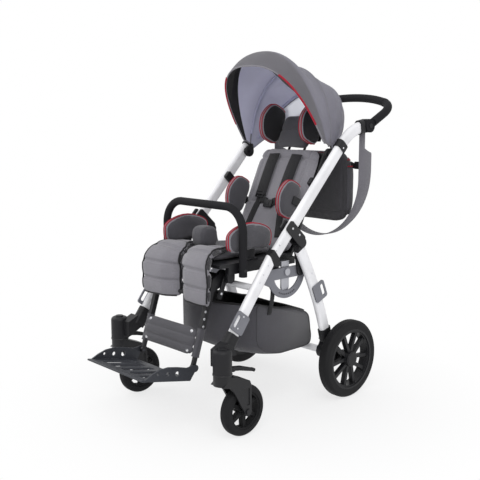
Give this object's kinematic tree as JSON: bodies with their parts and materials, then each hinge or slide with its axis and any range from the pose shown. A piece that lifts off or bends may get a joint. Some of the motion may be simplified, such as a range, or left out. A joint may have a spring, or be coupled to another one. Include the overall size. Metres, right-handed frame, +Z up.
{
  "type": "special needs buggy",
  "caption": "Folding buggy for a disabled child with a tilting padded seat, hood, legrest, footplate, swivel casters, basket and rear bag.",
  "frame": {"origin": "floor level under the middle of the bounding box", "axes": "+X to the buggy's left, -Y to the front where the footplate is, +Z up"},
  "size_m": [0.634, 1.2182, 1.2713],
  "materials": {
    "white_paint": "gloss",
    "grey_paint": "satin",
    "steel": "satin",
    "grey_cloth": "woven melange",
    "dark_cloth": "woven",
    "webbing": "ribbed",
    "tyre": "matt",
    "foam_grip": "soft matt",
    "black_paint": "satin",
    "black_plastic": "fine grain"
  },
  "bodies": {
    "frame": {"left_push_tube": "white_paint", "right_push_tube": "white_paint", "fold_tongues": "black_plastic", "leg_brackets": "black_paint", "tilt_plates": "grey_paint", "tilt_shaft": "steel", "tube_clamps": "black_plastic", "hood_rear": "grey_cloth", "handle_hubs": "black_plastic", "bag": "dark_cloth", "bag_strap": "webbing", "basket": "dark_cloth"},
    "front_frame": {"front_legs": "white_paint", "fold_clevises": "black_plastic", "left_caster_housing": "black_plastic", "right_caster_housing": "black_plastic", "front_cross_tube": "white_paint", "front_tie_loops": "grey_paint"},
    "left_caster": {"left_caster_fork": "black_paint"},
    "right_caster": {"right_caster_fork": "black_paint"},
    "left_front_roller": {"left_front_wheel": "tyre"},
    "right_front_roller": {"right_front_wheel": "tyre"},
    "left_lock": {"left_lock_lever": "black_plastic"},
    "right_lock": {"right_lock_lever": "black_plastic"},
    "rear_frame": {"rear_legs": "white_paint", "rear_knuckles": "black_plastic", "rear_feet": "black_plastic", "rear_cross_tube": "white_paint", "rear_axles": "steel", "rear_tie_loops": "grey_paint"},
    "brake": {"brake_pedal": "black_plastic"},
    "left_rear_roller": {"left_rear_wheel": "black_plastic", "left_rear_tyre": "tyre"},
    "right_rear_roller": {"right_rear_wheel": "black_plastic", "right_rear_tyre": "tyre"},
    "seat": {"seat_frame": "black_paint", "tilt_arms": "steel", "seat_base": "grey_cloth", "thigh_pads": "grey_cloth", "thigh_flaps": "grey_cloth"},
    "left_hip": {"left_hip_pad": "grey_cloth"},
    "right_hip": {"right_hip_pad": "grey_cloth"},
    "pommel_post": {"pommel": "grey_cloth"},
    "bumper": {"bumper_bar": "foam_grip"},
    "back": {"back_frame": "black_paint", "back_cushion": "grey_cloth", "harness": "webbing"},
    "head": {"headrest_frame": "black_paint", "headrest": "grey_cloth"},
    "left_trunk": {"left_trunk_pad": "grey_cloth"},
    "right_trunk": {"right_trunk_pad": "grey_cloth"},
    "legrest": {"legrest_frame": "black_paint", "calf_strap": "dark_cloth"},
    "hangers": {"foot_hangers": "steel"},
    "foot": {"footplate": "black_plastic"},
    "handle": {"push_handle": "foam_grip"},
    "left_button": {"left_handle_button": "black_plastic"},
    "right_button": {"right_handle_button": "black_plastic"},
    "hood_brim": {"hood_front": "grey_cloth"}
  },
  "joints": [
    {"name": "frame_fold", "type": "hinge", "parent": "frame", "child": "front_frame", "pos_m": [0, -0.10357, 0.54], "axis": [1, 0, 0], "range_deg": [0, 23]},
    {"name": "rear_leg_fold", "type": "hinge", "parent": "frame", "child": "rear_frame", "pos_m": [0, 0.01723, 0.59989], "axis": [1, 0, 0], "range_deg": [-11.5, 0]},
    {"name": "left_caster_swivel", "type": "hinge", "parent": "front_frame", "child": "left_caster", "pos_m": [0.283, -0.38757, 0.1], "axis": [0, 0, 1], "continuous": true},
    {"name": "right_caster_swivel", "type": "hinge", "parent": "front_frame", "child": "right_caster", "pos_m": [-0.283, -0.38757, 0.1], "axis": [0, 0, 1], "continuous": true},
    {"name": "left_front_wheel_roll", "type": "hinge", "parent": "left_caster", "child": "left_front_roller", "pos_m": [0.283, -0.30157, 0.0865], "axis": [1, 0, 0], "continuous": true},
    {"name": "right_front_wheel_roll", "type": "hinge", "parent": "right_caster", "child": "right_front_roller", "pos_m": [-0.283, -0.30157, 0.0865], "axis": [1, 0, 0], "continuous": true},
    {"name": "left_swivel_lock", "type": "hinge", "parent": "front_frame", "child": "left_lock", "pos_m": [0.283, -0.34757, 0.2358], "axis": [1, 0, 0], "range_deg": [0, 15]},
    {"name": "right_swivel_lock", "type": "hinge", "parent": "front_frame", "child": "right_lock", "pos_m": [-0.283, -0.34757, 0.2358], "axis": [1, 0, 0], "range_deg": [0, 15]},
    {"name": "left_rear_wheel_roll", "type": "hinge", "parent": "rear_frame", "child": "left_rear_roller", "pos_m": [0.287, 0.23443, 0.145], "axis": [1, 0, 0], "continuous": true},
    {"name": "right_rear_wheel_roll", "type": "hinge", "parent": "rear_frame", "child": "right_rear_roller", "pos_m": [-0.287, 0.23443, 0.145], "axis": [1, 0, 0], "continuous": true},
    {"name": "brake_press", "type": "hinge", "parent": "rear_frame", "child": "brake", "pos_m": [0, 0.15936, 0.17919], "axis": [-1, 0, 0], "range_deg": [0, 22]},
    {"name": "seat_tilt", "type": "hinge", "parent": "frame", "child": "seat", "pos_m": [0, -0.02557, 0.498], "axis": [1, 0, 0], "range_deg": [-10, 5]},
    {"name": "back_recline", "type": "hinge", "parent": "seat", "child": "back", "pos_m": [0, 0.03943, 0.528], "axis": [-1, 0, 0], "range_deg": [0, 10]},
    {"name": "head_height", "type": "slide", "parent": "back", "child": "head", "axis": [0, 0.4226, 0.9063], "range_m": [0, 0.06]},
    {"name": "left_trunk_width", "type": "slide", "parent": "back", "child": "left_trunk", "axis": [1, 0, 0], "range_m": [0, 0.025]},
    {"name": "right_trunk_width", "type": "slide", "parent": "back", "child": "right_trunk", "axis": [-1, 0, 0], "range_m": [0, 0.025]},
    {"name": "left_hip_width", "type": "slide", "parent": "seat", "child": "left_hip", "axis": [-1, 0, 0], "range_m": [0, 0.02]},
    {"name": "right_hip_width", "type": "slide", "parent": "seat", "child": "right_hip", "axis": [1, 0, 0], "range_m": [0, 0.02]},
    {"name": "pommel_lift", "type": "slide", "parent": "seat", "child": "pommel_post", "axis": [0, 0, 1], "range_m": [0, 0.05]},
    {"name": "bumper_swing", "type": "hinge", "parent": "seat", "child": "bumper", "pos_m": [0, -0.22157, 0.527], "axis": [1, 0, 0], "range_deg": [0, 60]},
    {"name": "legrest_raise", "type": "hinge", "parent": "seat", "child": "legrest", "pos_m": [0, -0.25557, 0.5], "axis": [-1, 0, 0], "range_deg": [0, 45], "deforming": ["thigh_flaps"]},
    {"name": "foot_length", "type": "slide", "parent": "legrest", "child": "hangers", "axis": [0, -0.3107, -0.9505], "range_m": [0, 0.05]},
    {"name": "footplate_flip", "type": "hinge", "parent": "hangers", "child": "foot", "pos_m": [0, -0.38909, 0.2139], "axis": [1, 0, 0], "range_deg": [-75, 0]},
    {"name": "handle_angle", "type": "hinge", "parent": "frame", "child": "handle", "pos_m": [0, 0.37849, 1.00048], "axis": [1, 0, 0], "range_deg": [-60, 40]},
    {"name": "left_button_press", "type": "slide", "parent": "handle", "child": "left_button", "axis": [-1, 0, 0], "range_m": [0, 0.003], "stiffness_N_per_m": 500},
    {"name": "right_button_press", "type": "slide", "parent": "handle", "child": "right_button", "axis": [1, 0, 0], "range_m": [0, 0.003], "stiffness_N_per_m": 500},
    {"name": "hood_fold", "type": "hinge", "parent": "frame", "child": "hood_brim", "pos_m": [0, 0.20281, 0.89802], "axis": [1, 0, 0], "range_deg": [-55, 0]}
  ],
  "couplings": [
    {"joint": "rear_leg_fold", "follows": "frame_fold", "ratio": -0.5}
  ]
}
